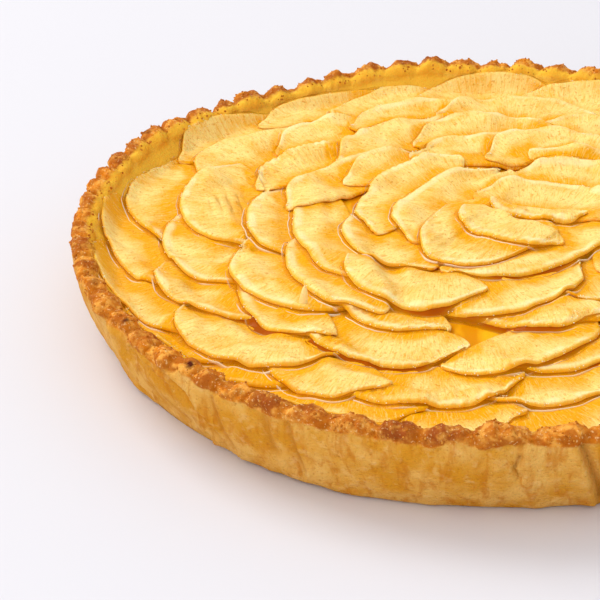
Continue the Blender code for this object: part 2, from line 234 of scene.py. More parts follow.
def add_balls(name, balls, material):
    faces = []
    for j in range(5):
        k = (j + 1) % 5
        faces += [(0, 2 + j, 2 + k), (2 + j, 7 + j, 2 + k), (2 + k, 7 + j, 7 + k), (1, 7 + k, 7 + j)]
    every = [tuple(corner + 12 * index for corner in face) for index in range(len(balls)) for face in faces]
    add_piece(name, np.concatenate(balls), every, material)


def case_section():
    """Section of the case as (radius, height) points, from the underside over the rim to its floor."""
    outer = [(BASE_RADIUS + 0.78 * z - 0.0155 * z * z, z) for z in (1.6, 3, 6, 9, 12, 15, 18, 21, 24)]
    foot = [(126.4, 0.0), (128.2, 0.0), (129.4, 0.5)]
    rim = [(138.7, 26.4), (138.2, 27.8), (137.0, CREST_HEIGHT), (135.5, 28.3), (134.3, 27.9)]
    inner = [(133.2, 27.2), (131.4, 25.3), (129.2, 23.0), (127.4, 21.0), (126.0, 19.4)]
    whole = smooth_path(foot + outer + rim + inner, 0.1)
    run = run_along(whole)
    crest = run[whole[:, 1].argmax()]
    before, after = crest - 8, crest + 7
    stops = np.concatenate([np.arange(0, before, WALL_SPACING), np.arange(before, after, RIM_SPACING),
                            np.arange(after, run[-1], WALL_SPACING)])
    under = [(40.0, 0.0), (80.0, 0.0), (110.0, 0.0), (122.0, 0.0)]
    hidden = [(125.3, 17.0), (124.4, 13.0), (123.6, 9.0), (122.8, 5.2), (121.0, 4.0), (90.0, 4.0)]
    return np.concatenate([under, points_at(stops, run, whole), hidden, [(50.0, 4.0)]])


def crimp_table():
    """Bearing and height of every crimp, and four random traits from -1 to 1 that make each its own."""
    draw = np.random.default_rng(23)
    first, last = CRIMPS[0][0] + 360, CRIMPS[-1][0]
    count = round((first - last) / SPARE_PITCH)
    spare = last + (first - last) * np.arange(1, count) / count + draw.uniform(-0.5, 0.5, count - 1)
    bearing = np.concatenate([[row[0] for row in CRIMPS], spare])
    top = np.concatenate([[row[1] for row in CRIMPS], draw.uniform(29.6, 31.6, count - 1)])
    return bearing, top, draw.uniform(-1, 1, (len(bearing), 4))


def crimp_field(bearing, slant, lean):
    """For each place: how far up a crimp it lies, from 0 in a groove to 1, the height of the tops there,
    and the traits of its crimp. slant runs from -1 outside the rim to 1 inside it, and lean is how many
    degrees the crimps turn on the way."""
    centres, tops, traits = crimp_table()
    bounds = (centres + np.roll(centres, -1)) / 2
    bounds[-1] += 180
    start = bounds[-1] - 360
    turned = (bearing - lean * slant - start) % 360 + start
    number = np.searchsorted(bounds, turned) % len(centres)
    edges = np.concatenate([[start], bounds])
    across = 2 * (turned - edges[number]) / (edges[number + 1] - edges[number]) - 1
    width, tilt = traits[number, 0], traits[number, 1]
    bump = np.clip(1 - np.abs(across) ** (1.8 + 0.9 * width), 0, 1) ** 0.9 * (1 + 0.5 * tilt * across)
    ring = np.concatenate([centres - 360, centres, centres + 360])
    return bump, np.interp(turned, ring, np.tile(tops, 3)), traits[number]


def fold_field(bearing, height):
    """How far the folds move the outer wall out, and how deep in a crease each place lies, for the painted
    shade there.
    """
    arc = 2 * math.pi * RIM_RADIUS / 360
    move = np.zeros(len(bearing))
    crease = np.zeros(len(bearing))
    for line, width, depth, step in FOLDS:
        away = (bearing - line[0][0] + 180) % 360 - 180
        nearest = np.full(len(bearing), 1e9)
        side = np.ones(len(bearing))
        for (b0, z0), (b1, z1) in zip(line[:-1], line[1:]):
            start = np.array([(b0 - line[0][0]) * arc, z0])
            along = np.array([(b1 - b0) * arc, z1 - z0])
            offset = np.stack([away * arc, height], 1) - start
            share = np.clip(offset @ along / (along @ along), 0, 1)
            gap = offset - share[:, None] * along
            distance = np.hypot(*gap.T)
            closer = distance < nearest
            nearest = np.where(closer, distance, nearest)
            turn = along[0] * offset[:, 1] - along[1] * offset[:, 0]
            side = np.where(closer, np.sign(turn), side)
        groove = bell(nearest, 0, width)
        move += 1.5 * (step * side * bell(nearest, 0, 5.0) * (1 - groove) - depth * groove)
        crease = np.maximum(crease, groove)
    return move, crease


def new_material(name):
    material = bpy.data.materials.new(name)
    material.use_nodes = True
    tree = material.node_tree
    return material, tree, tree.nodes["Principled BSDF"]


def add_node(tree, kind, inputs, **settings):
    """Node of a material. Every input is a value or the output of another node."""
    node = tree.nodes.new("ShaderNode" + kind)
    for name, value in settings.items():
        setattr(node, name, value)
    for socket, value in inputs.items():
        if isinstance(value, bpy.types.NodeSocket):
            tree.links.new(value, node.inputs[socket])
        else:
            node.inputs[socket].default_value = value
    return node


def attribute(tree, name, output="Fac"):
    return add_node(tree, "Attribute", {}, attribute_name=name).outputs[output]


def noise_at(tree, place, scale, detail, distortion=0.0, shift=(0, 0, 0)):
    vector = add_node(tree, "Mapping", {"Vector": place, "Scale": scale, "Location": shift}).outputs["Vector"]
    traits = {"Vector": vector, "Scale": 1.0, "Detail": detail, "Distortion": distortion}
    return add_node(tree, "TexNoise", traits).outputs["Fac"]


def speckle(tree, size, detail=2.0, stretch=(1, 1, 1), distortion=0.0):
    """Noise with lumps of the given size in mm; stretch is larger along the axis where they are shorter."""
    place = add_node(tree, "TexCoord", {}).outputs["Object"]
    return noise_at(tree, place, [1000.0 / size * axis for axis in stretch], detail, distortion)


def between(tree, value, low, high, start=0.0, stop=1.0):
    """Value rescaled so that low gives start and high gives stop, and held there beyond them."""
    ends = {"Value": value, "From Min": low, "From Max": high, "To Min": start, "To Max": stop}
    return add_node(tree, "MapRange", ends, interpolation_type="SMOOTHSTEP").outputs["Result"]


def combine(tree, kind, first, second):
    """Sum, product or larger of two values, each a number or the output of a node, held from 0 to 1."""
    return add_node(tree, "Math", {0: first, 1: second}, operation=kind, use_clamp=True).outputs[0]


def blend(tree, share, first, second):
    """Colour between two colours, each a tuple or the output of a node."""
    first, second = [(*end, 1.0) if isinstance(end, tuple) else end for end in (first, second)]
    return add_node(tree, "Mix", {"Factor": share, 6: first, 7: second}, data_type="RGBA").outputs[2]


def layered(tree, colour, layers):
    """Colour under thin layers, each given as the value that steers it, low, high, strength and colour."""
    for value, low, high, strength, tint in layers:
        colour = blend(tree, between(tree, value, low, high, 0, strength), colour, tint)
    return colour


def relief(tree, heights, shader):
    """Bump from one or more (height output, size in mm) pairs."""
    lower = {}
    for height, size in heights:
        inputs = {"Strength": 1.0, "Distance": size * 0.001, "Height": height, **lower}
        lower = {"Normal": add_node(tree, "Bump", inputs).outputs["Normal"]}
    tree.links.new(lower["Normal"], shader.inputs["Normal"])


def set_shader(tree, shader, colour, *amounts):
    """Colour, then roughness, specular, subsurface weight and depth in m, coat and its roughness."""
    tree.links.new(colour, shader.inputs["Base Color"])
    names = ("Roughness", "Specular IOR Level", "Subsurface Weight", "Subsurface Scale", "Coat Weight",
             "Coat Roughness")
    for name, amount in zip(names, amounts):
        shader.inputs[name].default_value = amount


def pastry_material():
    material, tree, shader = new_material("baked pastry")
    patches = speckle(tree, 11.0, 3.0)
    fine = speckle(tree, 2.6, 4.0)
    drag = speckle(tree, 5.0, 4.0, (1.6, 1.6, 0.35), 0.6)
    crumb = speckle(tree, 0.85, 3.0)
    wall = layered(tree, (0.78, 0.43, 0.10), [
        (patches, 0.32, 0.66, 1, (0.66, 0.28, 0.018)),
        (drag, 0.47, 0.70, 0.7, (0.56, 0.18, 0.008)),
        (fine, 0.52, 0.74, 0.3, (0.90, 0.60, 0.24)),
        (crumb, 0.42, 0.28, 0.5, (0.46, 0.15, 0.008)),
    ])
    film = layered(tree, (0.88, 0.46, 0.010), [
        (patches, 0.35, 0.65, 1, (0.68, 0.25, 0.001)),
        (fine, 0.5, 0.7, 0.45, (0.90, 0.50, 0.025)),
    ])
    # Painted light: the film on the inner side at the back is lightened to a clear yellow
    film = blend(tree, attribute(tree, "golden"), film, (0.97, 0.56, 0.055))
    wall = blend(tree, attribute(tree, "buttery"), wall, film)
    crust = layered(tree, (0.90, 0.42, 0.07), [
        (fine, 0.35, 0.65, 1, (0.70, 0.21, 0.010)),
        (speckle(tree, 6.0), 0.46, 0.60, 0.85, (0.45, 0.115, 0.007)),
    ])
    # Darker in the grooves between crimps: partly deeper browning, partly painted shade
    crust = blend(tree, attribute(tree, "groove"), crust, (0.42, 0.11, 0.004))
    toast = combine(tree, "MULTIPLY", attribute(tree, "toasted"), between(tree, fine, 0.3, 0.6, 0.4, 1.0))
    crust = layered(tree, blend(tree, toast, crust, (0.33, 0.075, 0.012)), [
        (crumb, 0.58, 0.72, 0.55, (0.97, 0.66, 0.30)),
        (crumb, 0.42, 0.28, 0.65, (0.36, 0.07, 0.003)),
    ])
    ragged = combine(tree, "ADD", attribute(tree, "browning_and_shade"), between(tree, fine, 0.3, 0.7, 0.0, 0.22))
    colour = blend(tree, between(tree, ragged, 0.25, 0.75), wall, crust)
    # Painted shade: the creases of the wall folds are darkened
    colour = blend(tree, attribute(tree, "crease"), colour, (0.50, 0.18, 0.015))
    colour = blend(tree, attribute(tree, "scorched"), colour, (0.085, 0.012, 0.006))
    set_shader(tree, shader, colour, 0.5, 0.03, 0.08, 0.003)
    tree.links.new(between(tree, attribute(tree, "buttery"), 0, 1, 0.55, 0.32), shader.inputs["Roughness"])
    relief(tree, [(fine, 0.5), (crumb, 0.6)], shader)
    return material


def make_case():
    """Make the case and return places on the tops of its crimps where crumbs lie."""
    section = case_section()
    run = run_along(section)
    crest = run[section[:, 1].argmax()]
    slant = np.clip((run - crest) / 6.0, -1, 1)
    slope = np.gradient(section, axis=0)
    slope /= np.linalg.norm(slope, axis=1)[:, None]
    bearing = np.tile(np.linspace(0, 360, CASE_COLUMNS, endpoint=False), len(section))
    part = np.repeat(np.arange(len(section)), CASE_COLUMNS)
    radius, height = section[part].T
    normal = np.stack([slope[:, 1], -slope[:, 0]], 1)[part]
    outside, slant = (run < crest)[part], slant[part]
    angle = np.radians(bearing)
    flat = around(radius, angle, height)
    # The crimps hang lower and rougher on the outer side of the front than round the back
    front = ease(np.cos(angle - math.radians(FLAT_BEARING)), -0.1, 0.7)
    hang = BORDER_HEIGHT + 0.9 * front + 1.1 * grain(flat * (1, 1, 0), 7.0, 3)
    on_rim = np.where(outside, ease(height, hang - 1.0, hang + 1.3), ease(height, 24.8, 27.6))
    bump, level, traits = crimp_field(bearing, slant, CRIMP_LEAN * (1 - 0.7 * front))
    rise = 1.1 + (GROOVE_DEPTH - 1.1) * np.clip(normal[:, 1], 0, 1) + 0.35 * traits[:, 2] * slant
    visible = ease(radius, 123.5, 125.5) * (height > 0.2) * np.where(outside, 1, ease(height, 17, 20))
    # The front is pressed flatter, so that its crimps run together
    lift = on_rim * (1.1 - 0.45 * front) * rise * bump
    crust = 0.8 * grain(flat * (1, 1, 0.6), 4.2, 11) + 0.45 * grain(flat, 3.0, 1)
    crust += 1.5 * (0.28 - np.abs(grain(flat, 2.3, 2))) + 0.42 * grain(flat, 1.3, 7)
    lift += on_rim * crust
    move, crease = fold_field(bearing, height)
    on_wall = outside * ease(height, 0.3, 3.0) * (1 - ease(height, hang - 1, hang + 1))
    uneven = 0.45 * grain(flat, 15, 4) + 0.26 * grain(flat, 4.0, 5) + 0.12 * grain(flat, 1.6, 6)
    lift += on_wall * (move + uneven)
    lift += outside * ease(height, 0.2, 0.6) * (1 - ease(height, 3, 6)) * 0.5 * grain(flat, 5, 8)
    lift *= visible
    inner = (~outside) * visible * (1 - on_rim)
    lift += inner * 0.25 * grain(flat, 3.0, 9)
    pushed = np.zeros(len(bearing))
    for middle, width, push, start, stop in WALL_SHIFTS:
        pushed += push * bell(bearing, middle, width) * ease(height, *start) * (1 - ease(height, *stop))
    radius = radius + lift * normal[:, 0] + pushed * outside * visible
    grooves = GROOVE_DEPTH * (1 - 0.5 * front)
    height = height + visible * ease(height, 16, 27.5) * (level - grooves - CREST_HEIGHT)
    height = np.maximum(height + lift * normal[:, 1], 0)
    points = np.concatenate([[[0, 0, 0]], around(radius, angle, height), [[0, 0, 4.0]]])
    faces = turned_faces(len(section), CASE_COLUMNS)
    piece = add_piece("baked_case", points, faces, pastry_material(), ("pastry_case",))

    scorched = np.zeros(len(bearing))
    for middle, distance, size, strength in SCORCHED:
        spot = around(distance, np.radians([middle]), [0])[0, :2]
        away = np.hypot(*(flat[:, :2] - spot).T) + 0.5 * grain(flat, 1.6, 14)
        scorched = np.maximum(scorched, strength * on_rim * (1 - ease(away, 0.45 * size, 1.25 * size)))
    # Painted shade: towards the front the inner side of the rim takes the browned crust colour and less of
    # the light yellow film, for the shade that falls there
    facing = ease(np.cos(angle - math.radians(SHADED_INSIDE_BEARING)), 0.25, 0.6)
    pale_inside = (0.85 - 0.6 * facing) * ease(slant, 0.0, 0.55)
    toasted = on_rim * ease(bump, 0.3, 1.0) * (0.35 + 0.5 * traits[:, 3]) * ease(normal[:, 1], -0.6, 0.8)
    toasted += 0.4 * bell(bearing, DARKEST_BEARING, 17) * on_rim * ease(bump, 0.0, 0.5)
    painted = {
        # Browned crust, with painted shade on the inner side towards the front
        "browning_and_shade": on_rim * (0.62 + 0.38 * bump) * (1 - pale_inside) + 0.1 * inner,
        "scorched": scorched,
        # Painted shade in the creases of the folds
        "crease": 0.6 * crease * on_wall,
        # Painted light on the inner side at the back
        "golden": 0.8 * ease(np.cos(angle - math.radians(LIT_INSIDE_BEARING)), -0.1, 0.7),
        "buttery": np.maximum(inner, ease(slant, -0.15, 0.45) * on_rim * (1 - 0.6 * facing)),
        "toasted": np.clip(toasted, 0, 1),
        # Partly deeper browning, partly painted shade between the crimps
        "groove": 0.8 * on_rim * (1 - ease(bump, 0.05, 0.45)),
    }
    for name, values in painted.items():
        paint(piece, name, np.concatenate([[0], values, [0]]))
    crumbly = np.flatnonzero((on_rim > 0.9) & (normal[:, 1] > -0.3) & (bump > 0.15))
    return points[np.random.default_rng(41).choice(crumbly, CRUMBS, replace=False) + 1]


def make_crumbs(places):
    """Coarse grains of baked sugar and flour, half sunk in the crust: small angular lumps."""
    draw = np.random.default_rng(43)
    sizes = draw.uniform(*CRUMB_SIZES, len(places)) * draw.uniform(0.7, 1.0, len(places))
    lump = ball((1, 0.45), (1, -0.45), -1)
    crumbs = []
    for place, size in zip(places, sizes):
        turned, _ = np.linalg.qr(draw.normal(size=(3, 3)))
        crumbs.append(place + lump * draw.uniform(0.7, 1.15, (12, 1)) * size @ turned)
    add_balls("rim_crumbs", crumbs, crumb_material())


def crumb_material():
    material, tree, shader = new_material("crust crumbs")
    tint = between(tree, speckle(tree, 2.2, 1.0), 0.4, 0.6)
    set_shader(tree, shader, blend(tree, tint, (0.66, 0.27, 0.04), (0.45, 0.13, 0.010)), 0.6, 0.04)
    return material


make_crumbs(make_case())


# Filling
# A pale set cream that fills the case up to the slices. It shows only in small gaps by the wall.
# Poured into the case and baked with it, so its top is a low, slightly uneven dome.

DOME_RISE = 2.5
DOME_RADIUS = 105.0


def bed_height(places):
    """Height of the filling, and past its edge of the leaning inner wall."""
    radius = np.hypot(places[:, 0], places[:, 1])
    dome = FILLING_LEVEL + DOME_RISE * np.clip(1 - (radius / DOME_RADIUS) ** 2, 0, 1) ** 1.5
    rise = (WALL_HEAD[1] - WALL_FOOT[1]) / (WALL_HEAD[0] - WALL_FOOT[0])
    return np.where(radius > WALL_FOOT[0], WALL_FOOT[1] + (radius - WALL_FOOT[0]) * rise, dome)


def filling_material():
    material, tree, shader = new_material("pale filling")
    mottle = speckle(tree, 4.0, 3.0)
    colour = layered(tree, (0.86, 0.55, 0.11), [(mottle, 0.35, 0.7, 1, (0.75, 0.40, 0.05))])
    streaks = speckle(tree, 7.0, 3.0, (1.0, 0.4, 1.0))
    wet = layered(tree, (0.86, 0.42, 0.006), [(streaks, 0.42, 0.62, 1, (0.70, 0.25, 0.001))])
    colour = blend(tree, attribute(tree, "soaked"), colour, wet)
    set_shader(tree, shader, colour, 0.3, 0.03, 0.2, 0.003)
    relief(tree, [(mottle, 0.25)], shader)
    return material


def make_filling():
    columns = 240
    side = [(118.0, 4.4), (121.4, 4.4), (124.4, 15.0), (125.6, 18.6)]
    top = (126.6, 125.5, 124.0, 121.0, 117.0, 112.0, 105.0, 95.0, 80.0, 60.0, 40.0, 20.0)
    radii = np.array([r for r, z in side] + list(top))
    turn = np.radians(np.linspace(0, 360, columns, endpoint=False))
    radius = np.repeat(radii, columns)
    angle = np.tile(turn, len(radii))
    flat = around(radius, angle, np.zeros(len(radius)))
    height = bed_height(flat) + 0.25 * grain(flat, 6.0, 12)
    height[:len(side) * columns] = np.repeat([z for r, z in side], columns)
    peak = FILLING_LEVEL + DOME_RISE
    points = np.concatenate([[[0, 0, 4.4]], flat + height[:, None] * (0, 0, 1), [[0, 0, peak]]])
    faces = turned_faces(len(radii), columns)
    made = add_piece("set_filling", points, faces, filling_material(), ("filling",))
    # Glaze that ran down between the slices has soaked the middle
    paint(made, "soaked", 1 - ease(np.hypot(points[:, 0], points[:, 1]), 112, 120))


make_filling()


# Apple slices
# Thin half-moons cut from peeled apples, laid raw from the rim inwards and baked until limp, so each
# one sags over those under it. Their peel sides face the rim. The heart is a few slices curled together.

# Rows in the order of laying: bearing and reach of the middle of the peel side, turn of the slice away
# from that bearing in degrees, half length and bulge of the peel side. A row of two is a regular slice
RING_1 = [
    (342, 130), (327, 131), (312, 130), (297, 131), (283, 130), (268, 130), (254, 130), (240, 131),
    (225, 128, 14.5, 31, 21), (210, 130), (198.5, 130, 8.5, 36, 12), (183.5, 126.5, 15.5, 36, 12),
    (151.5, 127.5, -3.5, 34, 19.5), (172.5, 121, 33, 35, 32), (131.5, 130.5, -9.5, 36, 18.5),
    (112.5, 129.5, -2, 36, 13.5), (106, 127, 14, 31.5, 24), (85, 132, 4, 30, 18.5),
    (68.5, 131.5, 8, 29.5, 21.5), (45, 131), (29, 131), (13, 130), (357, 131),
]
RING_2 = [
    (343, 117), (322, 116), (302, 113), (281.5, 109, 19, 28.5, 20), (255.5, 115.5, 10, 29.5, 21.5),
    (234, 118.5, -16.5, 23.5, 21.5), (224, 120, 14.5, 30, 22), (208, 108.5, 30, 28.5, 22.5),
    (185, 108.5, 10, 31, 21.5), (136, 119.5, -8.5, 35.5, 25.5), (169.5, 106, 20.5, 34, 26),
    (118, 111, -11, 27.5, 22.5), (100, 114, 2, 29.5, 21.5), (78, 118, 2.5, 32, 20), (55, 108), (36, 109),
    (17, 112), (0, 114),
]
RING_3 = [
    (346, 98, 0, 33, 20), (316, 97, 0, 33, 20), (288, 91, 9, 31.5, 20), (278.5, 86.5, 25, 30, 17.5),
    (241, 96.5, 3.5, 26.5, 24), (211.5, 95, -12, 29.5, 17.5), (211, 89, 16.5, 30.5, 28),
    (171.5, 82.5, 8.5, 31.5, 20), (130.5, 94, -14, 30.5, 21.5), (108, 95, 13.5, 34.5, 17.5),
    (87, 98.5, 8.5, 28.5, 23), (62, 88), (38, 91), (15, 94),
]
RING_4 = [
    (345, 76), (313, 73), (263, 61, -23.5, 35, 19.5), (224, 73.5, -7.5, 32, 19.5),
    (205.5, 73.5, -10, 32.5, 20.5), (183.5, 65, 5, 39, 16.5), (134.5, 76, -7.5, 32, 18.5),
    (109.5, 70, -8.5, 29, 21), (83, 79.5, 4.5, 32, 21.5), (72, 85.5, 22, 24, 23.5), (40, 74), (12, 75),
]
RING_5 = [
    (330, 62), (280.5, 55, 16, 31, 22), (236.5, 62.5, 8.5, 24, 19.5), (191, 49, 4, 26, 21.5),
    (136, 52.5, 15, 34, 19), (52, 64, 27, 32, 20), (352, 60),
]
HEART = [
    (312, 35, -8, 37, 18.5), (127.5, 38, 17.5, 34, 20), (48.5, 45, 18.5, 27, 18.5),
    (234, 29.5, -1, 21.5, 36), (376, 16.5, -124.5, 17, 7.5), (268, 8.7, -39.5, 20.5, 13),
]
REGULAR = (0, 32, 20)
RING_CORE = 5.5
HEART_CORES = (9.0, 9.0, 9.0, 10.0, 2.5, 5.0)

SLICE_THICKNESS = 1.7
PRESSED_THICKNESS = 1.2
SLICE_STIFFNESS = 0.8

# Pull on a slice that sags: the share spread by area and the share spread evenly over its points
SAG_LOAD = (70, 30)
CONTACT_PUSH = 6.0
LONGEST_MOVE = 4.0
SETTLE_TURNS = 120
SETTLE_COLUMNS = 25
SETTLE_ROWS = 9
FINE_COLUMNS = 61
FINE_ROWS = 21
EDGE_ROUND = 1.0
TIP_DROOP = 0.9
LIP_HEIGHT = 0.26

# Slices with a wavier peel edge or stronger ripples than the rest: name, waviness, height of the ripples
UNEVEN = {
    "3_09": (1.0, 0.25), "2_11": (1.2, 0.10), "4_03": (2.2, 0.15), "4_04": (2.2, 0.15), "3_05": (1.8, 0.12),
    "2_05": (1.6, 0.12), "5_05": (1.3, 0.2), "6_05": (2.4, 0.1), "6_06": (2.4, 0.1), "6_04": (1.8, 0.08),
}
EVEN = (1.0, 0.0)

# Slices with soft wrinkles that cross the fibres in the middle; their troughs are darkened as painted shade
CROSSWISE = ("2_11",)

# What the material of a slice reads at every point of it, besides the direction of its fibres: deeper colour
# from glaze and painted shade, a painted highlight near the peel edge, the edge's own deeper colour, and
# painted shade in wrinkles
SLICE_TRAITS = ("shade", "pale", "rind", "wrinkle")

CHIP_PLACE = (-62.8, -51.5, 25.0)
CHIP_HEIGHT = 6.0
CHIP_HALF_WIDTH = 1.35


class Slice:
    """One half-moon sheet on its own grid: columns along it, rows from the core side to the peel side."""

    def __init__(self, name, row, core):
        bearing, reach, turn, half, bulge = row
        middle, facing = math.radians(bearing), math.radians(bearing + turn)
        self.name = name
        self.out = np.array([math.cos(facing), math.sin(facing)])
        self.along = np.array([-math.sin(facing), math.cos(facing)])
        self.half, self.bulge, self.core = half, bulge, core
        self.origin = reach * np.array([math.cos(middle), math.sin(middle)]) - bulge * self.out
        self.x = half * np.sin(np.linspace(-math.pi / 2, math.pi / 2, SETTLE_COLUMNS))
        self.low, self.high = self.edges(self.x)
        share = np.linspace(0, 1, SETTLE_ROWS)
        across = self.low[:, None] + (self.high - self.low)[:, None] * share
        grid = self.origin + self.x[:, None, None] * self.along + across[..., None] * self.out
        number = np.arange(grid[..., 0].size).reshape(across.shape)
        number[0, :], number[-1, :] = number[0, 0], number[-1, 0]
        used, flat = np.unique(number, return_inverse=True)
        self.number = flat.reshape(across.shape)
        self.points = np.zeros((len(used), 2))
        self.points[self.number.ravel()] = grid.reshape(-1, 2)
        self.lines = self.grid_lines(1.5)
        self.z = None

    def edges(self, x):
        """Core side and peel side of the half-moon at places along it."""
        share = np.clip(np.abs(x) / self.half, 0, 1)
        return -self.core * (1 - share ** 4) ** 0.5, self.bulge * (1 - share ** 2.3) ** 0.55

    def grid_lines(self, step):
        """Points along the lines of the grid, its diagonals included."""
        n = self.number
        starts = np.concatenate([n[:-1].ravel(), n[:, :-1].ravel(), n[:-1, :-1].ravel()])
        stops = np.concatenate([n[1:].ravel(), n[:, 1:].ravel(), n[1:, 1:].ravel()])
        points = [self.points]
        for first, last in zip(self.points[starts], self.points[stops]):
            count = int(np.linalg.norm(last - first) / step)
            if count > 0:
                points.append(first + (np.arange(count)[:, None] + 0.5) / count * (last - first))
        return np.concatenate(points)

    def own(self, places):
        """How far each place lies along the slice and across it."""
        offset = places - self.origin
        return offset @ self.along, offset @ self.out

    def beyond(self, places):
        """Roughly how far each place lies outside the outline of the slice, less than 0 inside."""
        x, y = self.own(places)
        low, high = self.edges(x)
        return np.maximum(np.maximum(low - y, y - high), np.abs(x) - self.half)

    def locate(self, places, slack):
        """Whether each place lies on the slice, and the corners and weights of its triangle there."""
        x, y = self.own(places)
        i = np.clip(np.searchsorted(self.x, x) - 1, 0, len(self.x) - 2)
        t = np.clip((x - self.x[i]) / (self.x[i + 1] - self.x[i]), 0, 1)
        low = self.low[i] + t * (self.low[i + 1] - self.low[i])
        high = self.high[i] + t * (self.high[i + 1] - self.high[i])
        inside = (np.abs(x) < self.half + slack) & (y > low - slack) & (y < high + slack)
        rows = SETTLE_ROWS - 1
        k = np.clip(((y - low) / np.maximum(high - low, 1e-9) * rows).astype(int), 0, rows - 1)
        near_step = (self.high[i] - self.low[i]) / rows
        far_step = (self.high[i + 1] - self.low[i + 1]) / rows
        near_base, far_base = self.low[i] + k * near_step, self.low[i + 1] + k * far_step
        diagonal = near_base + t * (far_base + far_step - near_base)
        lower = (y <= diagonal)[:, None]
        far = np.clip((y - near_base - t * (far_base - near_base)) / np.maximum(far_step, 1e-9), 0, t)
        near = np.clip((y - diagonal) / np.maximum(near_step, 1e-9), 0, 1 - t)
        a, b = self.number[i, k], self.number[i + 1, k]
        c, d = self.number[i + 1, k + 1], self.number[i, k + 1]
        corners = np.where(lower, np.stack([a, b, c], 1), np.stack([a, d, c], 1))
        weights = np.where(lower, np.stack([1 - t, t - far, far], 1), np.stack([1 - t - near, near, t], 1))
        return inside, corners, weights

    def height_at(self, places, slack):
        """Whether each place lies on the slice, and the height of the slice there."""
        inside, corners, weights = self.locate(places, slack)
        return inside, (self.z[corners] * weights).sum(1)

    def bending(self):
        """Rows whose squares add up to the bending energy of the slice."""
        n, x, width = self.number, self.x, self.high - self.low
        rows = []

        def add(scale, parts):
            row = np.zeros(len(self.points))
            for point, share in parts:
                row[point] += share
            rows.append(row * math.sqrt(scale))

        for i in range(1, SETTLE_COLUMNS - 1):
            before, after = x[i] - x[i - 1], x[i + 1] - x[i]
            mean = (before + after) / 2
            for j in range(SETTLE_ROWS):
                parts = [(n[i - 1, j], 1 / (mean * before)), (n[i + 1, j], 1 / (mean * after))]
                parts.append((n[i, j], -1 / (mean * before) - 1 / (mean * after)))
                add(mean * width[i] / SETTLE_ROWS, parts)
            step = width[i] / (SETTLE_ROWS - 1)
            curve = step ** -2
            for j in range(1, SETTLE_ROWS - 1):
                add(step * mean, [(n[i, j - 1], curve), (n[i, j + 1], curve), (n[i, j], -2 * curve)])
        for i in range(SETTLE_COLUMNS - 1):
            step = max((width[i] + width[i + 1]) / 2 / (SETTLE_ROWS - 1), 0.4)
            cell = (x[i + 1] - x[i]) * step
            for j in range(SETTLE_ROWS - 1):
                add(2 / cell, [(n[i, j], 1), (n[i + 1, j + 1], 1), (n[i + 1, j], -1), (n[i, j + 1], -1)])
        return np.array(rows)


def neighbours(piece, others):
    """Those of the others that come near the slice."""
    apart = [np.linalg.norm(other.origin - piece.origin) - piece.half - other.half for other in others]
    return [other for other, gap in zip(others, apart) if gap < 12]


def settle(piece, laid):
    """Let the slice sag until it rests on what lies below it, bending as little as it can."""
    near = neighbours(piece, laid)
    places = [piece.lines] + [other.lines[piece.locate(other.lines, 0)[0]] for other in near]
    places = np.concatenate(places)
    need = bed_height(places) + SLICE_THICKNESS / 2
    for other in near:
        inside, under = other.height_at(places, 0.15)
        need = np.where(inside, np.maximum(need, under + PRESSED_THICKNESS), need)
    count = len(piece.points)
    corners, weights = piece.locate(places, 1.0)[1:]
    pairs = (corners[:, :, None] * count + corners[:, None, :]).reshape(len(places), 9)
    shares = (weights[:, :, None] * weights[:, None, :]).reshape(len(places), 9)
    bending = piece.bending()
    stiff = SLICE_STIFFNESS * bending.T @ bending + 1e-4 * np.eye(count)
    width = np.gradient(piece.x) * ((piece.high - piece.low) / SETTLE_ROWS + 0.05)
    load = np.zeros(count)
    np.add.at(load, piece.number.ravel(), np.repeat(width, SETTLE_ROWS))
    load = SAG_LOAD[0] * load / load.sum() + SAG_LOAD[1] / count
    z = np.full(count, need.max())
    held = None
    for turn in range(SETTLE_TURNS):
        short = need - (z[corners] * weights).sum(1)
        touching = short > 0
        if turn > 3 and (touching == held).all():
            break
        held = touching
        contact = np.bincount(pairs[touching].ravel(), shares[touching].ravel(), count * count)
        lift = np.bincount(corners[touching].ravel(), (weights * short[:, None])[touching].ravel(), count)
        slope = load + stiff @ z - CONTACT_PUSH * lift
        move = np.linalg.solve(stiff + CONTACT_PUSH * contact.reshape(count, count), slope)
        z = z - move * min(1.0, LONGEST_MOVE / np.abs(move).max())
    piece.z = z + max(0.0, (need - (z[corners] * weights).sum(1)).max())


def lay_slices():
    """All slices in the order of laying, each settled on the ones before it."""
    laid = []
    for ring, rows in enumerate((RING_1, RING_2, RING_3, RING_4, RING_5, HEART), 1):
        for index, row in enumerate(rows):
            core = HEART_CORES[index] if rows is HEART else RING_CORE
            piece = Slice(f"{ring}_{index + 1:02d}", row + REGULAR[len(row) - 2:], core)
            settle(piece, laid)
            laid.append(piece)
    return laid


def surface_height(places, pieces):
    """Height of the top of the tart where only these slices are laid."""
    height = bed_height(places)
    for piece in pieces:
        inside, middle = piece.height_at(places, 0.1)
        height = np.where(inside, np.maximum(height, middle + SLICE_THICKNESS / 2), height)
    return height


def rounded(inward):
    """How full the round edge of a slice is at a distance from it, from 0 to 1."""
    return np.sqrt(1 - (1 - np.clip(inward / EDGE_ROUND, 0, 1)) ** 2)


def raised(flat, height):
    return np.concatenate([flat, height[..., None]], -1)


def peel_edge(piece, x):
    """Peel side of the baked slice: the half-moon's edge with small waves in it."""
    low, high = piece.edges(x)
    # The end that lies on the slice before it is drawn out thin
    high = high * (1 - 0.5 * ease(x / piece.half, 0.68, 0.97))
    waviness = UNEVEN.get(piece.name, EVEN)[0]
    spot = np.stack([x, np.full(len(x), 3.7 * piece.number.size), piece.origin[0] + 0 * x], 1)
    wave = 0.42 * grain(spot, 6.5, 21) + 0.2 * grain(spot, 2.4, 22)
    return low, high + waviness * wave * (1 - (np.abs(x) / piece.half) ** 8)


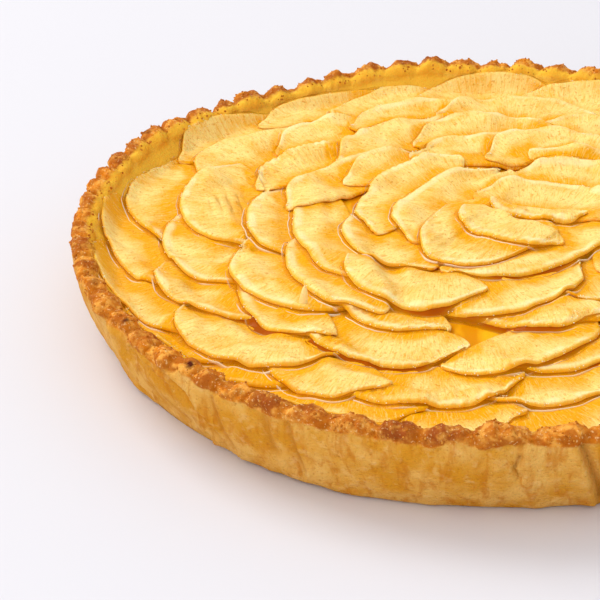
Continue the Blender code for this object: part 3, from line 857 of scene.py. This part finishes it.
def fine_slice(piece, before, later):
    """Closed fine mesh of a slice: points, faces, and what its material reads at every point."""
    columns = 2 * FINE_COLUMNS - 1 if piece.name in UNEVEN else FINE_COLUMNS
    rows = 4 * FINE_ROWS if piece.name in CROSSWISE else FINE_ROWS
    phase = np.linspace(-math.pi / 2, math.pi / 2, columns)
    x = piece.half * np.sin(phase)
    share = 0.5 - 0.5 * np.cos(np.linspace(0, math.pi, rows))
    low, high = peel_edge(piece, x)
    width = (high - low)[:, None]
    across = low[:, None] + width * share
    flat = piece.origin + x[:, None, None] * piece.along + across[..., None] * piece.out
    by_column = curve_weights(SETTLE_COLUMNS, (phase / math.pi + 0.5) * (SETTLE_COLUMNS - 1))
    by_row = curve_weights(SETTLE_ROWS, share * (SETTLE_ROWS - 1))
    middle = by_column @ piece.z[piece.number] @ by_row.T
    # The thin ends go limp and lie down on what is under them
    below = surface_height(flat.reshape(-1, 2), neighbours(piece, before)).reshape(middle.shape)
    tip = (np.abs(x) / piece.half)[:, None]
    limp = TIP_DROOP * ease(tip, 0.55, 0.98)
    middle = middle - limp * np.clip(middle - below - SLICE_THICKNESS / 2, 0, 5)
    spot = raised(flat, middle).reshape(-1, 3)

    def field(size, layer):
        return grain(spot, size, layer).reshape(middle.shape)

    ripple = 0.06 + UNEVEN.get(piece.name, EVEN)[1]
    waves = np.sin(x / 0.46 + 2.0 * np.sin(x / 6.0))[:, None] * ease(share, 0.15, 0.9)
    wrinkle = np.zeros(middle.shape)
    if piece.name in CROSSWISE:
        shift = field(9.0, 24) + 0.3 * field(3.0, 25)
        waves = np.sin(across / 0.55 + 2.8 * shift) * np.exp(-(x / 15) ** 4)[:, None]
        waves = waves * ease(share, 0.15, 0.35) * (1 - ease(share, 0.6, 0.85))
        # Painted shade: the troughs of the wrinkles are darkened
        wrinkle = np.clip(-2.2 * waves - 1.2, 0, 1) * ease(field(7.0, 26), -0.6, 0.3)
    middle = middle + (0.30 * field(9.0, 28) + 0.16 * field(5.0, 15)) + ripple * waves
    to_edge = np.minimum(width * share, width * (1 - share))
    from_peel = width * (1 - share)
    # The peel side stays a little thicker than the rest
    lip = LIP_HEIGHT * bell(from_peel, 1.5, 1.3)
    round_off = rounded(to_edge)
    half = SLICE_THICKNESS / 2 * round_off * (1 - 0.45 * ease(tip, 0.6, 1.0))
    top = middle + half + (0.07 * field(1.3, 16) + lip) * round_off
    number = np.arange(middle.size).reshape(middle.shape)
    inner = number[1:-1, 1:-1].ravel()
    every = np.concatenate([number.ravel(), inner])
    number[0, :], number[-1, :] = number[0, 0], number[-1, 0]
    under = number.copy()
    under[1:-1, 1:-1] = middle.size + np.arange(len(inner)).reshape(columns - 2, -1)
    upper = raised(flat, top).reshape(-1, 3)
    lower = raised(flat, middle - half)[1:-1, 1:-1].reshape(-1, 3)
    points = np.concatenate([upper, lower])
    faces = sheet_faces(number.tolist(), True) + sheet_faces(under.tolist())
    # Deeper colour near the slices laid on top: glaze gathered there, and painted shade under their edges
    shade = np.zeros(middle.size)
    for other in neighbours(piece, later):
        shade = np.maximum(shade, 1 - np.clip(other.beyond(upper[:, :2]) / 12.0, 0, 1))
    reach = np.hypot(*spot[:, :2].T)
    # Painted highlight: a pale band just inside the peel edge, patchy, and faded out on the slices by the rim
    patchy = np.clip(0.6 + grain(spot, 4.0, 27), 0, 1) * (1 - 0.9 * ease(reach, 110, 121))
    pale = bell(from_peel, 2.0, 1.7) * patchy.reshape(middle.shape)
    rind = bell(from_peel, 0, 0.75)
    # The light falls flat on the slices at the back, which look paler there
    behind = ease(spot[:, 1], 25, 75) * ease(reach, 85, 118)
    shade = np.clip(shade * (1 - 0.35 * behind) + 0.25 * (1 - behind) * ease(reach, 78, 122), 0, 1)
    fan = np.arctan2(np.repeat(x[:, None], rows, 1), across + 24.0) * 40.0
    fibre = np.stack([fan, across, 0 * fan], 2).reshape(-1, 3)
    used, place = np.unique(np.concatenate(faces), return_inverse=True)
    faces = np.split(place, np.cumsum([len(face) for face in faces])[:-1])
    painted = {name: values.ravel()[every][used]
               for name, values in zip(SLICE_TRAITS, (shade, pale, rind, wrinkle))}
    painted["fibre"] = fibre[every][used]
    return points[used], [tuple(face) for face in faces], painted


def apple_material(name, tone):
    """Baked apple under a clear glaze: fibres that fan from the core, darker towards the covered part from
    glaze and painted shade, with a painted highlight near the peel side.
    """
    material, tree, shader = new_material(name)
    place = attribute(tree, "fibre", "Vector")
    thread = 0.55
    lines, dashes = [
        noise_at(tree, place, (1 / thread, stretch / thread, 1), detail, distortion,
                 (17.3 * tone, 31.7 * tone, 5.1 * tone))
        for stretch, detail, distortion in ((0.14, 3.0, 0.8), (0.30, 2.0, 0.2))
    ]
    grit = speckle(tree, 0.8)
    depth = between(tree, attribute(tree, "shade"), 0.2, 0.95, 0.0, 0.9)
    clouds, blotches = speckle(tree, 13.0), speckle(tree, 4.5)
    for value, low, high, strength in (
        (clouds, 0.42, 0.66, 0.4), (blotches, 0.45, 0.70, 0.22), (grit, 0.45, 0.65, 0.16),
    ):
        depth = combine(tree, "ADD", depth, between(tree, value, low, high, 0.0, strength))
    colour = layered(tree, blend(tree, depth, (0.97, 0.71, 0.23), (0.87, 0.38, 0.001)), [
        (lines, 0.52, 0.66, 0.5, (0.83, 0.35, 0.001)),
        (lines, 0.46, 0.34, 0.32, (0.98, 0.78, 0.32)),
        (dashes, 0.64, 0.76, 0.65, (0.58, 0.20, 0.001)),
        (speckle(tree, 1.1, 1.0), 0.62, 0.72, 0.6, (0.70, 0.25, 0.002)),
        # Painted highlight near the peel edge, and painted light all over the torn chip
        (attribute(tree, "pale"), 0.1, 0.9, 0.6, (0.99, 0.83, 0.42)),
        (attribute(tree, "rind"), 0.2, 0.9, 0.8, (0.86, 0.42, 0.006)),
    ])
    # Painted shade in the troughs of the wrinkles
    wrinkle = combine(tree, "MULTIPLY", attribute(tree, "wrinkle"), 0.8)
    colour = blend(tree, wrinkle, colour, (0.50, 0.20, 0.008))
    set_shader(tree, shader, colour, 0.34, 0.02, 0.2, 0.002, 0.12, 0.10)
    relief(tree, [(lines, 0.16), (grit, 0.35)], shader)
    return material


def make_slices():
    ring = {name: [] for name in ("points", "faces", "fibre", *SLICE_TRAITS)}
    materials = [apple_material(f"baked apple {tone}", tone) for tone in (1, 2, 3)]
    start = 0
    for order, piece in enumerate(SLICES):
        points, faces, painted = fine_slice(piece, SLICES[:order], SLICES[order + 1:])
        if piece.name.startswith("1_"):
            faces = [tuple(corner + start for corner in face) for face in faces]
            start += len(points)
            for name, values in (("points", points), ("faces", faces), *painted.items()):
                ring[name].extend(values)
            continue
        node = "apple_" + piece.name
        made = add_piece("slice_" + piece.name, points, faces, materials[order % 3], (node,))
        paint_slice(made, painted)
    made = add_piece("outer_ring_slices", ring["points"], ring["faces"], materials[0],
                     ("apple_outer_ring",))
    paint_slice(made, ring)


def paint_slice(piece, painted):
    for name in SLICE_TRAITS:
        paint(piece, name, painted[name])
    layer = piece.data.attributes.new("fibre", "FLOAT_VECTOR", "POINT")
    layer.data.foreach_set("vector", np.asarray(painted["fibre"], np.float32).ravel())


def make_chip():
    """Torn tip of an apple slice that stands up between two slices: a thin, bent, pointed blade."""
    points = []
    for side in (1, -1):
        for up in np.linspace(0, 1, 9):
            wide = CHIP_HALF_WIDTH * (1 - up ** 1.6) ** 0.6 + 0.05
            for across in np.linspace(-1, 1, 7):
                thick = 0.45 * math.sqrt(max(1 - across ** 2, 0)) * (1 - 0.6 * up)
                lean = 0.9 * up ** 2 + 0.25 * across ** 2
                points.append((wide * across + 0.7 * up, side * thick + lean, CHIP_HEIGHT * up))
    front, back = np.arange(len(points)).reshape(2, 9, 7).transpose(0, 2, 1).tolist()
    faces = sheet_faces(front, True) + sheet_faces(back)
    material = apple_material("torn apple", 4)
    chip = add_piece("apple_chip", np.array(points) + CHIP_PLACE, faces, material)
    # Painted light: the whole chip takes the pale edge colour, because its face stands in shade
    paint(chip, "pale", np.ones(len(points)))


SLICES = lay_slices()
make_slices()
make_chip()


# Glaze
# Clear apricot glaze brushed on hot. It gathers as a thin amber bead against the peel side of every
# slice, stands in red-brown pools where the gaps are deep, and keeps small bubbles on the edges. The
# dark line at each slice's edge and the pools are partly painted shade, the pale line along the bead is a
# painted highlight, and the bubbles are painted pale for glints.

# Deep gaps where the glaze stands dark, partly as painted shade: x, y and radius
POOLS = [
    (-76, -60, 8), (-70, -67, 9), (-63, -75, 9), (-55, -83, 9), (-47, -89, 9), (-38, -92, 9), (-28, -93, 9),
    (-16, -92, 8), (-9.4, -72.1, 14), (5.7, -72.7, 14), (14.3, -25.4, 9), (-1.8, -40.7, 12),
    (-23.1, -60.3, 11), (30, -90, 10), (60, -60, 9), (20, 60, 9), (70, 40, 9),
]
GLAZE_COLUMNS = 130
BUBBLES_PER_SLICE = 95
BUBBLE_SIZES = (0.10, 0.31)

# Places across the bead as shares of its width, and the one where the bead is highest
GLAZE_STEPS = np.array([-0.5, 0.0, 0.2, 0.4, 0.6, 0.76, 0.86, 0.93, 1.0, 1.06])
BEAD_STEP = 0.93
BEAD_HEIGHT = 0.24


def glaze_material():
    material, tree, shader = new_material("apricot glaze")
    depth = attribute(tree, "depth")
    brim_highlight = attribute(tree, "brim_highlight")
    # Deeper amber where the glaze lies thick, standing in as painted shade at the slice edges and in the
    # pools too
    colour = blend(tree, depth, (0.84, 0.36, 0.002), (0.40, 0.078, 0.0005))
    # Painted highlight: a pale line along the bead
    colour = blend(tree, brim_highlight, colour, (1.0, 0.91, 0.68))
    set_shader(tree, shader, colour, 0.12, 0.02, 0.0, 0.001, 0.03, 0.04)
    bright = combine(tree, "MULTIPLY", brim_highlight, 0.95)
    cover = combine(tree, "MAXIMUM", between(tree, depth, 0.0, 1.0, 0.15, 0.93), bright)
    tree.links.new(cover, shader.inputs["Alpha"])
    return material


def make_glaze():
    """Make the beads and pools of every slice, and return where its bubbles sit and how large they are."""
    points, faces, depth, brim_highlight = [], [], [], []
    bubbles = []
    draw = np.random.default_rng(5)
    phase = np.linspace(-1.38, 1.38, GLAZE_COLUMNS)
    for order, piece in enumerate(SLICES):
        before = neighbours(piece, SLICES[:order])
        after = neighbours(piece, SLICES[order + 1:])
        x = piece.half * np.sin(phase)
        edge = piece.origin + x[:, None] * piece.along + peel_edge(piece, x)[1][:, None] * piece.out
        run = np.gradient(edge, axis=0)
        run /= np.linalg.norm(run, axis=1)[:, None]
        away = np.stack([run[:, 1], -run[:, 0]], 1)
        away *= np.sign((away @ piece.out).sum())
        side = piece.height_at(edge, 1.0)[1]
        spot = raised(edge, side)
        tip = np.abs(x) / piece.half
        pool = np.zeros(len(edge))
        for px, py, size in POOLS:
            pool = np.maximum(pool, bell(np.hypot(*(edge - (px, py)).T), 0, size))
        pool = pool * (1 - ease(tip, 0.62, 0.86))
        width = 1.25 + 0.5 * grain(spot, 7.0, 31) + 0.15 * grain(spot, 2.0, 32) + 2.0 * pool
        steps = GLAZE_STEPS
        place = edge[:, None] + (width[:, None] * steps + (steps > 1) * 0.1)[..., None] * away[:, None]
        below = surface_height(place.reshape(-1, 2), before).reshape(len(edge), -1)
        smooth = np.array([np.convolve(np.pad(row, 2, "edge"), np.ones(5) / 5, "valid") for row in below.T]).T
        reach = np.clip(side[:, None] - smooth, 0.2, 2.0)
        fall = np.clip(1 - steps / 0.85, 0, 1) ** 2.0
        bead = BEAD_HEIGHT * bell(steps, BEAD_STEP, 0.09)
        height = smooth + 0.06 + 0.8 * reach * fall + bead - 0.5 * (steps > 1.03)
        covered = np.zeros(len(edge), bool)
        for other in after:
            covered |= other.beyond(edge) < -0.6
        first = sum(len(block) for block in points)
        points.append(raised(place, height).reshape(-1, 3))
        # Deeper amber right at the slice's edge as a painted contact shadow, and in the pools partly painted
        # shade
        deep = 0.45 * fall + 0.15 + pool[:, None] * (1.05 - 0.7 * steps ** 4)
        depth.append(np.clip(deep, 0, 1).ravel())
        # Painted highlight along the bead, only on patches of edge that face the front and left
        bright = ease(grain(spot, 10.0, 33), -0.5, 0.1) * ease(-away[:, 1] - 0.6 * away[:, 0], -0.3, 0.5)
        line = bell((steps - BEAD_STEP) * width[:, None], 0, 0.2)
        drop = np.abs(np.diff(smooth[:, 4:], axis=1)).max(axis=1)
        bright = bright * (1 - ease(tip, 0.72, 0.9)) * (1 - ease(drop, 0.3, 0.7))
        brim_highlight.append((bright[:, None] * line * (1 - 0.5 * pool[:, None])).ravel())
        grid = (first + np.arange(height.size).reshape(height.shape)).tolist()
        for i in range(len(edge) - 1):
            if not (covered[i] and covered[i + 1]):
                faces += sheet_faces(list(zip(*grid[i:i + 2])))
        free = np.flatnonzero(~covered)
        if len(free):
            chosen = draw.choice(free, BUBBLES_PER_SLICE)
            inward = draw.uniform(0.0, 1.0, len(chosen)) ** 2 * 3.6 + draw.uniform(-0.1, 0.3, len(chosen))
            place = edge[chosen] - inward[:, None] * away[chosen]
            above = piece.height_at(place, 1.0)[1] + SLICE_THICKNESS / 2 * rounded(inward)
            open_air = surface_height(place, after) < above - 0.2
            size = draw.uniform(*BUBBLE_SIZES, len(chosen)) * (1 - 0.12 * inward)
            bubbles.extend(np.column_stack([place, above, size])[open_air])
    made = add_piece("glaze_beads", np.concatenate(points), faces, glaze_material())
    paint(made, "depth", np.concatenate(depth))
    paint(made, "brim_highlight", np.concatenate(brim_highlight))
    return bubbles


def bubble_glint_material():
    material, tree, shader = new_material("glaze bubbles")
    tint = between(tree, speckle(tree, 3.0), 0.35, 0.65)
    # Pale cream, paler than the clear glaze: painted highlight, so that the bubbles read as glints
    colour = blend(tree, tint, (1.0, 0.90, 0.62), (0.96, 0.72, 0.28))
    set_shader(tree, shader, colour, 0.12, 0.9, 0.3, 0.001, 1.0, 0.03)
    return material


def make_bubbles(bubbles):
    """Half-sunk small domes of glaze, one low ball for each bubble."""
    dome = ball((0.87, 0.5), (0.95, -0.3), -0.8)
    at = np.array(bubbles)
    balls = at[:, None, :3] + dome * at[:, 3:, None] * (1, 1, 0.8)
    add_balls("glaze_bubbles", balls, bubble_glint_material())


make_bubbles(make_glaze())


# Studio
# Pale floor, a large soft window light from behind on the left, and soft light all round.

LENS = 114.64
CAMERA_PLACE = (-63.75, -575.46, 312.68)
CAMERA_PITCH = 0.5003
CAMERA_ROLL = -0.0183

# Half the width of the floor in m
FLOOR_HALF = 6
FLOOR_COLOUR = (0.70, 0.695, 0.735, 1)
WORLD_STRENGTH = 0.76

# Name, place in m, size in m, power in W and colour of each light. They all point at the tart
LIGHTS = [
    ("window", (-1.6, 1.4, 2.1), 1.5, 46, (1.0, 0.98, 0.95)),
    ("overhead", (-0.4, -0.5, 2.3), 2.0, 5, (1.0, 1.0, 1.0)),
    ("fill", (-0.9, -1.2, 0.9), 1.6, 9, (1.0, 1.0, 1.0)),
]


def make_studio():
    scene = bpy.context.scene
    scene.view_settings.view_transform = "Standard"
    scene.view_settings.look = "None"
    floor_mesh = bpy.data.meshes.new("studio_floor")
    corners = [(x * FLOOR_HALF, y * FLOOR_HALF, 0) for x, y in ((-1, -1), (1, -1), (1, 1), (-1, 1))]
    floor_mesh.from_pydata(corners, [], [(0, 1, 2, 3)])
    floor = add_object("studio_floor", floor_mesh)
    material, tree, shader = new_material("studio floor")
    shader.inputs["Base Color"].default_value = FLOOR_COLOUR
    shader.inputs["Roughness"].default_value = 0.7
    floor_mesh.materials.append(material)

    world = bpy.data.worlds.new("studio")
    world.use_nodes = True
    sky = world.node_tree.nodes["Background"]
    sky.inputs["Color"].default_value = (1.0, 0.99, 1.0, 1)
    sky.inputs["Strength"].default_value = WORLD_STRENGTH
    scene.world = world

    for name, place, size, power, colour in LIGHTS:
        data = bpy.data.lights.new(name, "AREA")
        data.size = size
        data.energy = power
        data.color = colour
        lamp = add_object(name, data)
        lamp.location = place
        x, y, z = np.array(place) / np.linalg.norm(place)
        lamp.rotation_euler = (math.acos(z), 0, math.atan2(y, x) + math.pi / 2)

    pitch, roll = CAMERA_PITCH, CAMERA_ROLL
    ahead = np.array([0, math.cos(pitch), -math.sin(pitch)])
    level = np.array([1.0, 0, 0])
    upright = np.array([0, math.sin(pitch), math.cos(pitch)])
    right = math.cos(roll) * level + math.sin(roll) * upright
    up = math.cos(roll) * upright - math.sin(roll) * level
    camera_data = bpy.data.cameras.new("camera")
    camera_data.lens = LENS
    camera_data.sensor_width = 36
    camera_data.sensor_fit = "HORIZONTAL"
    camera = add_object("camera", camera_data)
    matrix = np.eye(4)
    matrix[:3, :3] = np.stack([right, up, -ahead], 1)
    matrix[:3, 3] = np.array(CAMERA_PLACE) * 0.001
    camera.matrix_world = Matrix(matrix.tolist())
    scene.camera = camera


make_studio()
